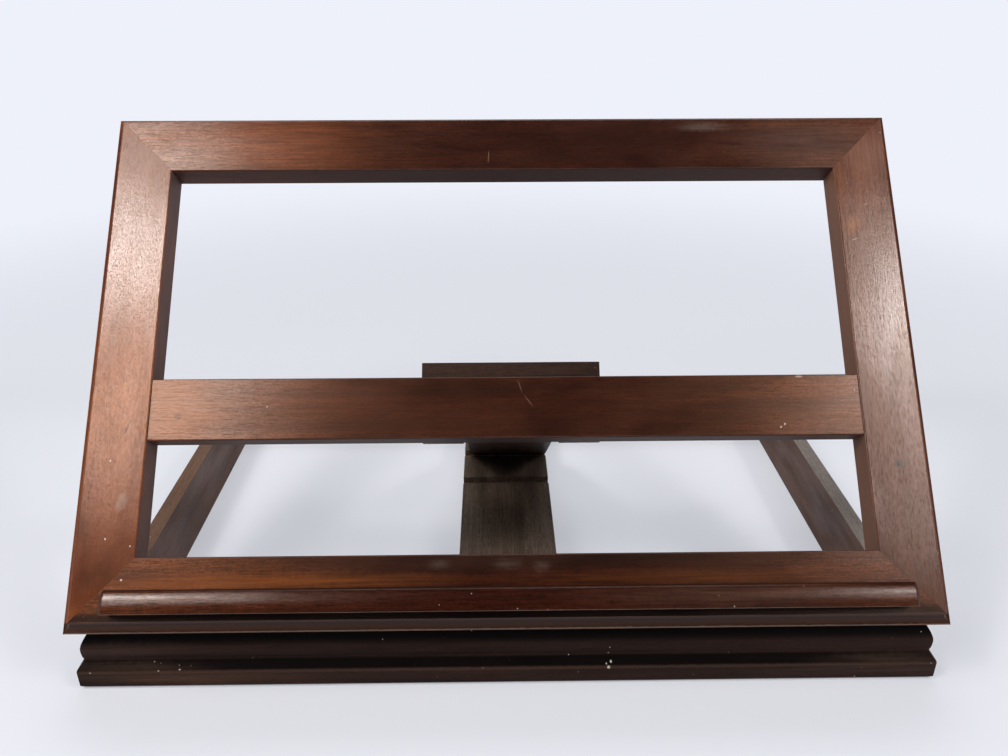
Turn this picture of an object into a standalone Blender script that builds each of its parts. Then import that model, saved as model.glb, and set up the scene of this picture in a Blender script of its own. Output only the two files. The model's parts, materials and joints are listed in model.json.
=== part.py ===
"""Adjustable table book stand in mahogany: moulded base, tilting desk frame and ratchet strut.

Lengths are in metres and +Z is up. The stand rests on z = 0 and its front looks towards -Y.
The desk hangs on an empty at its hinge axis, and the strut on another at its pivot.
Desk places are (x, v, w): v runs up the desk from its lower edge, w from its back to its face.
"""

import math

import bmesh
import bpy
from mathutils import Matrix, Vector

MM = 0.001

# Whole stand
STAND_WIDTH = 508 * MM
DESK_TILT = math.radians(50.2)

# Desk frame
DESK_LENGTH = 327 * MM
DESK_THICKNESS = 18.5 * MM
STILE_WIDTH = 41 * MM
RAIL_WIDTH = 42 * MM
EDGE_MOULD_WIDTH = 6 * MM
EDGE_MOULD_DEPTH = 7.5 * MM
EDGE_QUIRK = 2 * MM
ARRIS = 0.6 * MM
MIDDLE_RAIL_WIDTH = 37.5 * MM
MIDDLE_RAIL_THICKNESS = 16 * MM
MIDDLE_RAIL_RISE = 109.5 * MM

# Book lip along the bottom rail
LIP_INSET = 26.5 * MM
LIP_HEIGHT = 13.5 * MM
LIP_PROJECTION = 13 * MM
LIP_RISE = 10.5 * MM
LIP_ROUND = 3.5 * MM
LIP_END_CHAMFER = 2.5 * MM
LIP_SHIFT = 1 * MM

# Moulded base; insets are measured in from the widest line of the moulding
BASE_DEPTH = 330 * MM
BASE_HEIGHT = 44.5 * MM
BASE_RAIL = 22 * MM
BASE_FOOT_INSET = 2 * MM
BASE_FOOT_RISE = 2.5 * MM
BASE_RIDGE_RISE = 12.6 * MM
BASE_VALLEY_RISE = 19.8 * MM
BASE_VALLEY_INSET = 4.2 * MM
BASE_TORUS_RISE = 26 * MM
BASE_TORUS_INSET = 3.4 * MM
BASE_TOP_INSET = 11.4 * MM

# Ratchet bar across the base, its notches counted from the front
BAR_WIDTH = 66 * MM
BAR_THICKNESS = 18 * MM
BAR_DROP = 17.5 * MM
BAR_HOUSING = 6 * MM
BAR_SHIFT = 1 * MM
NOTCH_COUNT = 3
NOTCH_IN_USE = 2
NOTCH_FROM_REAR = 61.4 * MM
NOTCH_PITCH = 42.1 * MM
NOTCH_LENGTH = 9.8 * MM
NOTCH_DEPTH = 5 * MM

# Strut and the trenched block that carries it
BLOCK_WIDTH = 111 * MM
BLOCK_HEIGHT = 48.5 * MM
BLOCK_THICKNESS = 16.5 * MM
BLOCK_STEP = 2.5 * MM
BLOCK_WEB = 3.3 * MM
STRUT_THICKNESS = 12 * MM
STRUT_HEAD_WIDTH = 57 * MM
STRUT_TOE_WIDTH = 62 * MM
STRUT_SHIFT = 3 * MM
PIVOT_FROM_SCREW = 7.5 * MM
PIVOT_RADIUS = 2.5 * MM
PIVOT_RECESS = 1 * MM
WASHER_THICKNESS = 0.8 * MM
WASHER_INSET = 1 * MM

# Butt hinges between base and desk
HINGE_INSET = 104 * MM
HINGE_LENGTH = 50 * MM
HINGE_PROUD = 1.5 * MM
HINGE_FROM_EDGE = 8.5 * MM
HINGE_GAP = 0.6 * MM
HINGE_PIN_RADIUS = 1.1 * MM
LEAF_THICKNESS = 1.5 * MM
BASE_LEAF_MARGIN = 1.6 * MM
DESK_LEAF_WIDTH = 19 * MM

# Tongues in the mitres and dowels in the middle rail
DESK_TONGUE_LENGTH = 26 * MM
DESK_TONGUE_WIDTH = 20 * MM
DESK_TONGUE_THICKNESS = 4 * MM
BASE_TONGUE_LENGTH = 12 * MM
BASE_TONGUE_WIDTH = 10 * MM
BASE_TONGUE_THICKNESS = 3 * MM
BASE_TONGUE_RISE = 8 * MM
DOWEL_RADIUS = 3 * MM
DOWEL_LENGTH = 24 * MM
DOWEL_SPACING = 18 * MM

# Wood screws; the bite is the length that holds in the far piece
SCREW_HEAD = 2.0
HINGE_SCREW_RADIUS = 1.2 * MM
HINGE_SCREW_BITE = 9.5 * MM
HINGE_SCREW_INSET = 8 * MM
LIP_SCREW_RADIUS = 1.6 * MM
LIP_SCREW_BITE = 7.5 * MM
LIP_SCREW_INSET = 17.5 * MM
LIP_SCREW_COUNT = 4
BLOCK_SCREW_RADIUS = 1.8 * MM
BLOCK_SCREW_BITE = 10 * MM
BLOCK_SCREW_EDGE = 7 * MM

# Clearances
GAP = 0.3 * MM
SLIDE = 0.4 * MM
TOE_CLEARANCE = 0.3 * MM
OVERCUT = 1 * MM
WELD = 0.001 * MM

# Places across and round the base, measured from its middle
FRONT_Y = -BASE_DEPTH / 2
BASE_HALF_X = STAND_WIDTH / 2 - BASE_RAIL
BASE_HALF_Y = BASE_DEPTH / 2 - BASE_RAIL
BAR_TOP = BASE_HEIGHT - BAR_DROP
BAR_LOW = BAR_TOP - BAR_THICKNESS
LAST_NOTCH = BASE_DEPTH / 2 - NOTCH_FROM_REAR
NOTCHES = [LAST_NOTCH - NOTCH_PITCH * i for i in reversed(range(NOTCH_COUNT))]
HINGE_X = STAND_WIDTH / 2 - HINGE_INSET
HINGE_AXIS = Vector((0, FRONT_Y + BASE_TOP_INSET - HINGE_PROUD, BASE_HEIGHT + HINGE_GAP / 2))
KNUCKLE_RADIUS = HINGE_PIN_RADIUS + LEAF_THICKNESS
BASE_LEAF_WIDTH = BASE_RAIL - BASE_TOP_INSET + HINGE_PROUD - BASE_LEAF_MARGIN

# Places in the desk, measured from the middle of its lower back edge
DESK_HALF_X = STAND_WIDTH / 2 - STILE_WIDTH
DESK_HALF_V = DESK_LENGTH / 2 - RAIL_WIDTH
DESK_MID_V = DESK_LENGTH / 2
DESK_CORNER = Vector((0, -HINGE_FROM_EDGE, HINGE_GAP / 2))
MIDDLE_BACK = DESK_THICKNESS - MIDDLE_RAIL_THICKNESS
MIDDLE_TOP = MIDDLE_RAIL_RISE + MIDDLE_RAIL_WIDTH
LIP_LENGTH = STAND_WIDTH - 2 * LIP_INSET
LIP_SEAT = DESK_THICKNESS + GAP
LIP_FRONT = LIP_PROJECTION - GAP

# Places in the block and along the strut
BLOCK_RISE = MIDDLE_RAIL_RISE + BLOCK_STEP
BLOCK_FACE = MIDDLE_BACK - GAP
BLOCK_BACK = BLOCK_FACE - BLOCK_THICKNESS
BLOCK_SCREW_RISES = (MIDDLE_RAIL_RISE + BLOCK_SCREW_EDGE, MIDDLE_TOP - BLOCK_SCREW_EDGE)
CHANNEL_FLOOR = BLOCK_FACE - BLOCK_WEB
CHANNEL_WIDTH = STRUT_HEAD_WIDTH + 2 * (WASHER_THICKNESS + 2 * GAP)
WASHER_RADIUS = STRUT_THICKNESS / 2 - WASHER_INSET
PIVOT_V = BLOCK_SCREW_RISES[0] + PIVOT_FROM_SCREW
PIVOT = DESK_CORNER + Vector((STRUT_SHIFT, PIVOT_V, CHANNEL_FLOOR - SLIDE - STRUT_THICKNESS / 2))

# How the desk leans, how far the strut reaches, and where the middle of the whole stand comes
LEAN = Matrix.Rotation(DESK_TILT, 3, "X")
PIVOT_IN_BASE = HINGE_AXIS + LEAN @ PIVOT
TOE_RISE = BAR_TOP + TOE_CLEARANCE + STRUT_THICKNESS / 2
STRUT_LINE = Vector((STRUT_SHIFT, NOTCHES[NOTCH_IN_USE - 1], TOE_RISE)) - PIVOT_IN_BASE
STRUT_REACH = STRUT_LINE.length
STRUT_TURN = math.atan2(STRUT_LINE.z, STRUT_LINE.y) - DESK_TILT
LIP_NOSE = HINGE_AXIS + LEAN @ (DESK_CORNER + Vector((0, LIP_RISE + ARRIS, LIP_SEAT + LIP_FRONT)))
STAND_MIDDLE = (LIP_NOSE.y + BASE_DEPTH / 2) / 2

# Turns that lay a flat outline's x, y and thickness along other axes
QUARTER = math.pi / 2
AS_DRAWN = (0, 0, 0)
LENGTHWISE = (QUARTER, 0, QUARTER)
UPRIGHT = (QUARTER, 0, 0)
CROSSWISE = (0, QUARTER, 0)
UPSIDE_DOWN = (2 * QUARTER, 0, 0)
SIDES = ((-1, "left"), (1, "right"))

# Colour, metallic and roughness of each material
MAHOGANY = ((0.105, 0.036, 0.018), 0.0, 0.38)
DARK_MAHOGANY = ((0.034, 0.017, 0.011), 0.0, 0.42)
BRASS = ((0.50, 0.34, 0.12), 1.0, 0.42)
STEEL = ((0.30, 0.29, 0.28), 1.0, 0.45)
BEECH = ((0.42, 0.27, 0.15), 0.0, 0.6)

for old in list(bpy.data.objects):
    bpy.data.objects.remove(old, do_unlink=True)


# Objects

def collection(name):
    made = bpy.data.collections.new(name)
    bpy.context.scene.collection.children.link(made)
    return made


PARTS = collection("table_book_stand")
CUTTERS = collection("cutters")


def link(name, data, home, parent, at, turn):
    thing = bpy.data.objects.new(name, data)
    home.objects.link(thing)
    thing.parent = parent
    thing.location = at
    thing.rotation_euler = turn
    return thing


def part(name, mesh, look, parent, at, turn=AS_DRAWN):
    colour, metallic, roughness = look
    material = bpy.data.materials.new(name + "_finish")
    material.use_nodes = True
    shader = material.node_tree.nodes["Principled BSDF"]
    shader.inputs["Base Color"].default_value = (*colour, 1.0)
    shader.inputs["Metallic"].default_value = metallic
    shader.inputs["Roughness"].default_value = roughness
    mesh.materials.append(material)
    return link(name, mesh, PARTS, parent, at, turn)


def cutter(name, mesh, parent, at, turn=AS_DRAWN):
    tool = link(name, mesh, CUTTERS, parent, at, turn)
    tool.hide_render = True
    tool.display_type = "WIRE"
    return tool


def cut(tool, *targets):
    for target in targets:
        step = target.modifiers.new(tool.name, "BOOLEAN")
        step.operation = "DIFFERENCE"
        step.solver = "EXACT"
        step.object = tool


# Meshes

def finished(build):
    bmesh.ops.recalc_face_normals(build, faces=build.faces)
    mesh = bpy.data.meshes.new("shape")
    build.to_mesh(mesh)
    build.free()
    mesh.shade_smooth()
    mesh.set_sharp_from_angle(angle=math.radians(35))
    return mesh


def box(size):
    build = bmesh.new()
    bmesh.ops.create_cube(build, size=1, matrix=Matrix.Diagonal((*size, 1)))
    return finished(build)


def rod(radius, length, sides=16):
    build = bmesh.new()
    bmesh.ops.create_cone(build, cap_ends=True, segments=sides, radius1=radius, radius2=radius, depth=length)
    return finished(build)


def slab(points, thickness):
    """Flat outline, extruded half its thickness each way and made a welded mesh."""
    curve = bpy.data.curves.new("outline", "CURVE")
    curve.dimensions = "2D"
    curve.fill_mode = "BOTH"
    curve.extrude = thickness / 2
    spline = curve.splines.new("POLY")
    spline.points.add(len(points) - 1)
    for knot, (x, y) in zip(spline.points, points):
        knot.co = (x, y, 0, 1)
    spline.use_cyclic_u = True
    guide = link("outline", curve, CUTTERS, None, (0, 0, 0), AS_DRAWN)
    drawn = bpy.data.meshes.new_from_object(guide.evaluated_get(bpy.context.evaluated_depsgraph_get()))
    bpy.data.objects.remove(guide)
    build = bmesh.new()
    build.from_mesh(drawn)
    bmesh.ops.remove_doubles(build, verts=build.verts, dist=WELD)
    return finished(build)


def trimmed(mesh, point, normal):
    """Saw off what lies on the side that the normal points to, and close the cut."""
    build = bmesh.new()
    build.from_mesh(mesh)
    whole = build.verts[:] + build.edges[:] + build.faces[:]
    sawn = bmesh.ops.bisect_plane(build, geom=whole, plane_co=point, plane_no=normal, clear_outer=True)
    rim = [edge for edge in sawn["geom_cut"] if isinstance(edge, bmesh.types.BMEdge)]
    bmesh.ops.edgeloop_fill(build, edges=rim)
    return finished(build)


def profile_mesh(profile):
    build = bmesh.new()
    knots = [build.verts.new((radius, 0, height)) for radius, height in profile]
    for knot, following in zip(knots, knots[1:]):
        build.edges.new((knot, following))
    mesh = bpy.data.meshes.new("profile")
    build.to_mesh(mesh)
    build.free()
    return mesh


def turn_round(thing):
    lathe = thing.modifiers.new("turn", "SCREW")
    lathe.steps = 12
    lathe.render_steps = lathe.steps
    lathe.use_merge_vertices = True
    lathe.merge_threshold = WELD
    return thing


def arc(centre, radii, start, end, steps):
    turns = [math.radians(start + (end - start) * i / steps) for i in range(steps + 1)]
    return [(centre[0] + radii[0] * math.cos(a), centre[1] + radii[1] * math.sin(a)) for a in turns]


def ogee(low, high, steps):
    shares = [i / steps for i in range(steps + 1)]
    sways = [(1 - math.cos(math.pi * share)) / 2 for share in shares]
    run, rise = high[0] - low[0], high[1] - low[1]
    return [(low[0] + run * sway, low[1] + rise * share) for sway, share in zip(sways, shares)]


# Joinery

def frame_member(name, outline, half_inner, slope, look, parent, at, turn):
    """Moulded member with its mitred ends sawn a clearance apart from its neighbours."""
    width = max(across for across, height in outline)
    mesh = slab(outline, 2 * (half_inner + width * slope) + OVERCUT)
    for end in (-1, 1):
        normal = Vector((-slope, 0, end)).normalized()
        mesh = trimmed(mesh, Vector((0, 0, end * half_inner)) - normal * GAP / 2, normal)
    return part(name, mesh, look, parent, at, (QUARTER, 0, QUARTER + turn))


def tongue(name, size, parent, at, angle, *members):
    turn = (0, 0, angle)
    part(name, box(size), BEECH, parent, at, turn)
    slot_size = [edge + 2 * GAP for edge in size]
    cut(cutter(name + "_slot", box(slot_size), parent, at, turn), *members)


def wood_screw(name, radius, length, look, parent, at, turn, *members):
    head = radius * SCREW_HEAD
    neck = radius - head
    wide = radius + GAP
    body = [(0, 0), (head, 0), (radius, neck), (radius, radius - length), (radius / 3, -length), (0, -length)]
    hole = [(0, OVERCUT), (head + GAP, OVERCUT), (head + GAP, 0), (wide, neck), (wide, -length - GAP),
            (0, -length - GAP)]
    turn_round(part(name, profile_mesh(body), look, parent, at, turn))
    cut(turn_round(cutter(name + "_hole", profile_mesh(hole), parent, at, turn)), *members)


# Empties on the joints' axes

BASE = link("base_middle", None, PARTS, None, (0, -STAND_MIDDLE, 0), AS_DRAWN)
DESK_HINGE = link("desk_hinge_axis", None, PARTS, BASE, HINGE_AXIS, (DESK_TILT, 0, 0))
DESK = link("desk_lower_edge", None, PARTS, DESK_HINGE, DESK_CORNER, AS_DRAWN)
STRUT = link("strut_pivot_axis", None, PARTS, DESK_HINGE, PIVOT, (STRUT_TURN, 0, 0))


# Desk frame

def desk_outline(width):
    high, face = DESK_THICKNESS, width - EDGE_MOULD_WIDTH
    hollow = arc((width, high - EDGE_QUIRK), (EDGE_MOULD_WIDTH, EDGE_MOULD_DEPTH), 180, 270, 8)
    return [(0, ARRIS), (0, high - ARRIS), (ARRIS, high), (face - ARRIS, high), (face, high - ARRIS), *hollow,
            (width, ARRIS), (width - ARRIS, 0), (ARRIS, 0)]


def desk_rail(name, up, turn):
    at = (0, DESK_MID_V + up * DESK_HALF_V, 0)
    slope = STILE_WIDTH / RAIL_WIDTH
    return frame_member(name, desk_outline(RAIL_WIDTH), DESK_HALF_X, slope, MAHOGANY, DESK, at, turn)


def desk_stile(name, side, turn):
    at = (side * DESK_HALF_X, DESK_MID_V, 0)
    slope = RAIL_WIDTH / STILE_WIDTH
    return frame_member(name, desk_outline(STILE_WIDTH), DESK_HALF_V, slope, MAHOGANY, DESK, at, turn)


TOP_RAIL = desk_rail("desk_top_rail", 1, 0)
BOTTOM_RAIL = desk_rail("desk_bottom_rail", -1, 2 * QUARTER)
STILES = {-1: desk_stile("desk_left_stile", -1, QUARTER), 1: desk_stile("desk_right_stile", 1, 3 * QUARTER)}

for rail, height, up in ((TOP_RAIL, "top", 1), (BOTTOM_RAIL, "bottom", -1)):
    for side, hand in SIDES:
        at = Vector((side * (DESK_HALF_X + STILE_WIDTH / 2), DESK_MID_V, 0))
        at.y += up * (DESK_HALF_V + RAIL_WIDTH / 2)
        at.z = (DESK_THICKNESS - EDGE_QUIRK - EDGE_MOULD_DEPTH) / 2
        size = (DESK_TONGUE_LENGTH, DESK_TONGUE_WIDTH, DESK_TONGUE_THICKNESS)
        diagonal = side * up * math.atan2(RAIL_WIDTH, STILE_WIDTH)
        tongue(f"desk_tongue_{height}_{hand}", size, DESK, at, diagonal, rail, STILES[side])


# Middle rail, flush with the desk's face and dowelled to the stiles

def eased(width, low, high):
    return [(0, low + ARRIS), (0, high - ARRIS), (ARRIS, high), (width - ARRIS, high), (width, high - ARRIS),
            (width, low + ARRIS), (width - ARRIS, low), (ARRIS, low)]


middle_mesh = slab(eased(MIDDLE_RAIL_WIDTH, MIDDLE_BACK, DESK_THICKNESS), 2 * (DESK_HALF_X - GAP))
MIDDLE_RAIL = part("desk_middle_rail", middle_mesh, MAHOGANY, DESK, (0, MIDDLE_RAIL_RISE, 0), LENGTHWISE)

for side, hand in SIDES:
    for up, height in ((-1, "low"), (1, "high")):
        name = f"middle_rail_dowel_{hand}_{height}"
        at = Vector((side * DESK_HALF_X, (MIDDLE_RAIL_RISE + MIDDLE_TOP + up * DOWEL_SPACING) / 2, 0))
        at.z = (MIDDLE_BACK + DESK_THICKNESS) / 2
        part(name, rod(DOWEL_RADIUS, DOWEL_LENGTH), BEECH, DESK, at, CROSSWISE)
        socket = rod(DOWEL_RADIUS + GAP, DOWEL_LENGTH + 2 * GAP)
        cut(cutter(name + "_hole", socket, DESK, at, CROSSWISE), STILES[side], MIDDLE_RAIL)

# Book lip, chamfered at its ends and screwed on from behind the bottom rail

nose = arc((LIP_HEIGHT - LIP_ROUND, LIP_FRONT - LIP_ROUND), (LIP_ROUND, LIP_ROUND), 90, 0, 6)
lip_mesh = slab([(0, 0), (0, LIP_FRONT - ARRIS), (ARRIS, LIP_FRONT), *nose, (LIP_HEIGHT, 0)], LIP_LENGTH)
for end in (-1, 1):
    lip_mesh = trimmed(lip_mesh, (0, LIP_FRONT, end * (LIP_LENGTH / 2 - LIP_END_CHAMFER)), (0, 1, end))
LIP = part("book_lip", lip_mesh, MAHOGANY, DESK, (LIP_SHIFT, LIP_RISE, LIP_SEAT), LENGTHWISE)

for i in range(LIP_SCREW_COUNT):
    share = i / (LIP_SCREW_COUNT - 1) - 0.5
    at = (LIP_SHIFT + share * (LIP_LENGTH - 2 * LIP_SCREW_INSET), LIP_RISE + LIP_HEIGHT / 2, 0)
    length = LIP_SEAT + LIP_SCREW_BITE
    wood_screw(f"lip_screw_{i + 1}", LIP_SCREW_RADIUS, length, STEEL, DESK, at, UPSIDE_DOWN, BOTTOM_RAIL, LIP)


# Moulded base, one outline run round four mitred rails

def base_outline():
    valley, torus = BASE_RAIL - BASE_VALLEY_INSET, BASE_RAIL - BASE_TORUS_INSET
    foot = [(BASE_RAIL - BASE_FOOT_INSET, 0), (BASE_RAIL, BASE_FOOT_RISE)]
    lower = ogee((BASE_RAIL, BASE_RIDGE_RISE), (valley, BASE_VALLEY_RISE), 8)
    swell = arc((valley, BASE_TORUS_RISE), (torus - valley, BASE_TORUS_RISE - BASE_VALLEY_RISE), -90, 0, 6)
    upper = ogee((torus, BASE_TORUS_RISE), (BASE_RAIL - BASE_TOP_INSET, BASE_HEIGHT), 10)
    return [(0, 0), *foot, *lower, *swell[1:], *upper[1:], (0, BASE_HEIGHT)]


def base_rail(name, half_inner, at, turn):
    return frame_member(name, base_outline(), half_inner, 1, DARK_MAHOGANY, BASE, at, turn)


REAR_RAIL = base_rail("base_rear_rail", BASE_HALF_X, (0, BASE_HALF_Y, 0), 0)
LEFT_RAIL = base_rail("base_left_rail", BASE_HALF_Y, (-BASE_HALF_X, 0, 0), QUARTER)
FRONT_RAIL = base_rail("base_front_rail", BASE_HALF_X, (0, -BASE_HALF_Y, 0), 2 * QUARTER)
RIGHT_RAIL = base_rail("base_right_rail", BASE_HALF_Y, (BASE_HALF_X, 0, 0), 3 * QUARTER)

for long_rail, end, back in ((FRONT_RAIL, "front", -1), (REAR_RAIL, "rear", 1)):
    for (side, hand), side_rail in zip(SIDES, (LEFT_RAIL, RIGHT_RAIL)):
        at = (side * (BASE_HALF_X + BASE_RAIL / 2), back * (BASE_HALF_Y + BASE_RAIL / 2), BASE_TONGUE_RISE)
        size = (BASE_TONGUE_LENGTH, BASE_TONGUE_WIDTH, BASE_TONGUE_THICKNESS)
        diagonal = side * back * QUARTER / 2
        tongue(f"base_tongue_{end}_{hand}", size, BASE, at, diagonal, long_rail, side_rail)

# Ratchet bar, housed in the front and rear rails; each notch has a ramp and an upright rear wall

bar_end = BASE_HALF_Y + BAR_HOUSING - GAP
bar_outline = [(-bar_end, BAR_LOW), (-bar_end, BAR_TOP)]
for middle in NOTCHES:
    wall = middle + NOTCH_LENGTH / 2
    bar_outline += [(middle - NOTCH_LENGTH / 2, BAR_TOP), (wall, BAR_TOP - NOTCH_DEPTH), (wall, BAR_TOP)]
bar_outline += [(bar_end, BAR_TOP), (bar_end, BAR_LOW)]
part("ratchet_bar", slab(bar_outline, BAR_WIDTH), DARK_MAHOGANY, BASE, (BAR_SHIFT, 0, 0), LENGTHWISE)
housing = box((BAR_WIDTH + 2 * GAP, 2 * (BASE_HALF_Y + BAR_HOUSING), BAR_THICKNESS + 2 * GAP))
cut(cutter("bar_housing", housing, BASE, (BAR_SHIFT, 0, (BAR_LOW + BAR_TOP) / 2)), FRONT_RAIL, REAR_RAIL)

# Block behind the middle rail, trenched so that the strut turns and folds in it

block_side, trench_side = BLOCK_WIDTH / 2, CHANNEL_WIDTH / 2
trench = [(-trench_side, BLOCK_BACK), (-trench_side, CHANNEL_FLOOR), (trench_side, CHANNEL_FLOOR),
          (trench_side, BLOCK_BACK)]
block_outline = [(-block_side, BLOCK_FACE), (-block_side, BLOCK_BACK), *trench, (block_side, BLOCK_BACK),
                 (block_side, BLOCK_FACE)]
block_at = (STRUT_SHIFT, BLOCK_RISE + BLOCK_HEIGHT / 2, 0)
BLOCK = part("hinge_block", slab(block_outline, BLOCK_HEIGHT), DARK_MAHOGANY, DESK, block_at, UPRIGHT)

for side, hand in SIDES:
    for height, rise in zip(("low", "high"), BLOCK_SCREW_RISES):
        at = (STRUT_SHIFT + side * (block_side + trench_side) / 2, rise, BLOCK_BACK)
        name, length = f"hinge_block_screw_{hand}_{height}", MIDDLE_BACK - BLOCK_BACK + BLOCK_SCREW_BITE
        wood_screw(name, BLOCK_SCREW_RADIUS, length, STEEL, DESK, at, UPSIDE_DOWN, BLOCK, MIDDLE_RAIL)


# Strut, round at head and toe, with its pivot rod and washers

def level(edge, axis):
    return abs(edge.verts[0].co[axis] - edge.verts[1].co[axis]) < WELD


def strut_mesh():
    half, head, toe = STRUT_THICKNESS / 2, STRUT_HEAD_WIDTH / 2, STRUT_TOE_WIDTH / 2
    plan = [(-head, -half), (head, -half), (toe, STRUT_REACH + half), (-toe, STRUT_REACH + half)]
    build = bmesh.new()
    build.from_mesh(slab(plan, STRUT_THICKNESS))
    bmesh.ops.dissolve_limit(build, angle_limit=math.radians(1), verts=build.verts, edges=build.edges)
    ends = [edge for edge in build.edges if level(edge, 1) and level(edge, 2)]
    bmesh.ops.bevel(build, geom=ends, offset=half - WELD, segments=6, profile=0.5, affect="EDGES")
    bmesh.ops.remove_doubles(build, verts=build.verts, dist=3 * WELD)
    return finished(build)


STRUT_BOARD = part("strut", strut_mesh(), DARK_MAHOGANY, STRUT, (0, 0, 0))
pivot_rod = rod(PIVOT_RADIUS, BLOCK_WIDTH - 2 * PIVOT_RECESS)
part("strut_pivot_rod", pivot_rod, STEEL, DESK_HINGE, PIVOT, CROSSWISE)
pivot_bore = rod(PIVOT_RADIUS + GAP, BLOCK_WIDTH + 2 * OVERCUT)
PIVOT_BORE = cutter("pivot_bore", pivot_bore, DESK_HINGE, PIVOT, CROSSWISE)
cut(PIVOT_BORE, BLOCK, STRUT_BOARD)
for side, hand in SIDES:
    at = PIVOT + Vector((side * (STRUT_HEAD_WIDTH / 2 + GAP + WASHER_THICKNESS / 2), 0, 0))
    disc = rod(WASHER_RADIUS, WASHER_THICKNESS)
    cut(PIVOT_BORE, part(f"pivot_washer_{hand}", disc, BRASS, DESK_HINGE, at, CROSSWISE))


# Butt hinges; up is -1 for the leaf let into the base and 1 for the leaf let into the desk

def leaf_outline(width, up):
    inner, outer = up * HINGE_GAP / 2, up * (HINGE_GAP / 2 + LEAF_THICKNESS)
    begin = math.degrees(math.asin(inner / KNUCKLE_RADIUS))
    end = math.degrees(math.asin(outer / KNUCKLE_RADIUS)) - up * 360
    return [(width, inner), *arc((0, 0), (KNUCKLE_RADIUS, KNUCKLE_RADIUS), begin, end, 16), (width, outer)]


def hinge_leaf(name, parent, at, width, up, gaps, wood):
    leaf = part(name, slab(leaf_outline(width, up), HINGE_LENGTH), BRASS, parent, at, LENGTHWISE)
    for i, (start, end) in enumerate(gaps):
        middle = at + Vector(((start + end) / 2, 0, 0))
        clear = rod(KNUCKLE_RADIUS + SLIDE, end - start)
        cut(cutter(f"{name}_clear_{i + 1}", clear, parent, middle, CROSSWISE), leaf)
    bore = rod(HINGE_PIN_RADIUS + GAP, HINGE_LENGTH + 2 * OVERCUT)
    cut(cutter(name + "_bore", bore, parent, at, CROSSWISE), leaf)
    trough = rod(KNUCKLE_RADIUS + SLIDE, HINGE_LENGTH + 2 * GAP)
    cut(cutter(name + "_trough", trough, parent, at, CROSSWISE), wood)
    bed = Vector((HINGE_LENGTH + 2 * GAP, width + GAP, HINGE_GAP / 2 + LEAF_THICKNESS + GAP))
    cut(cutter(name + "_bed", box(bed), parent, at + Vector((0, bed.y, up * bed.z)) / 2), wood)
    for side, hand in SIDES:
        seat = at + Vector((side * (HINGE_LENGTH / 2 - HINGE_SCREW_INSET), 0, up * HINGE_GAP / 2))
        seat.y += (KNUCKLE_RADIUS + SLIDE + width) / 2
        turn = UPSIDE_DOWN if up > 0 else AS_DRAWN
        length = LEAF_THICKNESS + HINGE_SCREW_BITE
        screw = f"{name}_screw_{hand}"
        wood_screw(screw, HINGE_SCREW_RADIUS, length, BRASS, parent, seat, turn, leaf, wood)


leaf_end, knuckle_end = HINGE_LENGTH / 2, HINGE_LENGTH / 6
MIDDLE_GAP = [(-knuckle_end - GAP, knuckle_end + GAP)]
OUTER_GAPS = [(-leaf_end - OVERCUT, -knuckle_end), (knuckle_end, leaf_end + OVERCUT)]
for side, hand in SIDES:
    along = Vector((side * HINGE_X, 0, 0))
    at = HINGE_AXIS + along
    hinge_leaf(f"hinge_base_leaf_{hand}", BASE, at, BASE_LEAF_WIDTH, -1, MIDDLE_GAP, FRONT_RAIL)
    hinge_leaf(f"hinge_desk_leaf_{hand}", DESK_HINGE, along, DESK_LEAF_WIDTH, 1, OUTER_GAPS, BOTTOM_RAIL)
    part(f"hinge_pin_{hand}", rod(HINGE_PIN_RADIUS, HINGE_LENGTH), BRASS, BASE, at, CROSSWISE)
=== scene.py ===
"""Looks of the tabletop book stand: worn mahogany, tarnished brass and old screws, around its frame."""

import json
import math

import bmesh
import bpy
from mathutils import Euler, Matrix, Vector


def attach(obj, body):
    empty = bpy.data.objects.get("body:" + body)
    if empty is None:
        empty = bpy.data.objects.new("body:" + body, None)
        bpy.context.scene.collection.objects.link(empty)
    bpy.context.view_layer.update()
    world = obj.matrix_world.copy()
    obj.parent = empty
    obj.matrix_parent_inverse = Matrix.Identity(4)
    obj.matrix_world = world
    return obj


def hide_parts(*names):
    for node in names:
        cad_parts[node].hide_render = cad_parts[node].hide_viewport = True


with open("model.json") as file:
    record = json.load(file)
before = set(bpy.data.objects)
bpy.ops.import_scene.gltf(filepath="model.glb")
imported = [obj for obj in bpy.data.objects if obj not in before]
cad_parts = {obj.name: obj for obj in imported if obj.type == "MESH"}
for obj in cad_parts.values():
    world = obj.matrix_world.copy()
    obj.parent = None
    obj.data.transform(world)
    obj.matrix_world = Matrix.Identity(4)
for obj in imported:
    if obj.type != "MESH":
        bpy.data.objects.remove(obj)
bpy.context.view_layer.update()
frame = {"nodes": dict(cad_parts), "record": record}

MM = 0.001
QUARTER = math.pi / 2
X_AXIS = (1.0, 0.0, 0.0)
Y_AXIS = (0.0, 1.0, 0.0)

# Where the desk lies: its lower back edge, and its lean from the table
DESK_TILT = math.radians(50.2)
DESK_CORNER = Vector((0, -154.338, 38.462)) * MM
TO_DESK = Euler((-DESK_TILT, 0, 0))
UP_DESK = (0.0, math.cos(DESK_TILT), math.sin(DESK_TILT))
OUT_OF_DESK = (0.0, -math.sin(DESK_TILT), math.cos(DESK_TILT))
STRUT_LEAN = math.radians(34.9)
ALONG_STRUT = (0.0, math.cos(STRUT_LEAN), -math.sin(STRUT_LEAN))

# The camera, fitted to the stand's edges in the photograph
PHOTO_WIDTH = 1008
FOCAL_PIXELS = 858.7
SENSOR_WIDTH = 36
CAMERA_AT = Vector((-7.34, -543.66, 383.94)) * MM
CAMERA_DOWN = math.radians(25.283)
CAMERA_ASIDE = math.radians(0.711)
CAMERA_ROLL = math.radians(-0.146)

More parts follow.
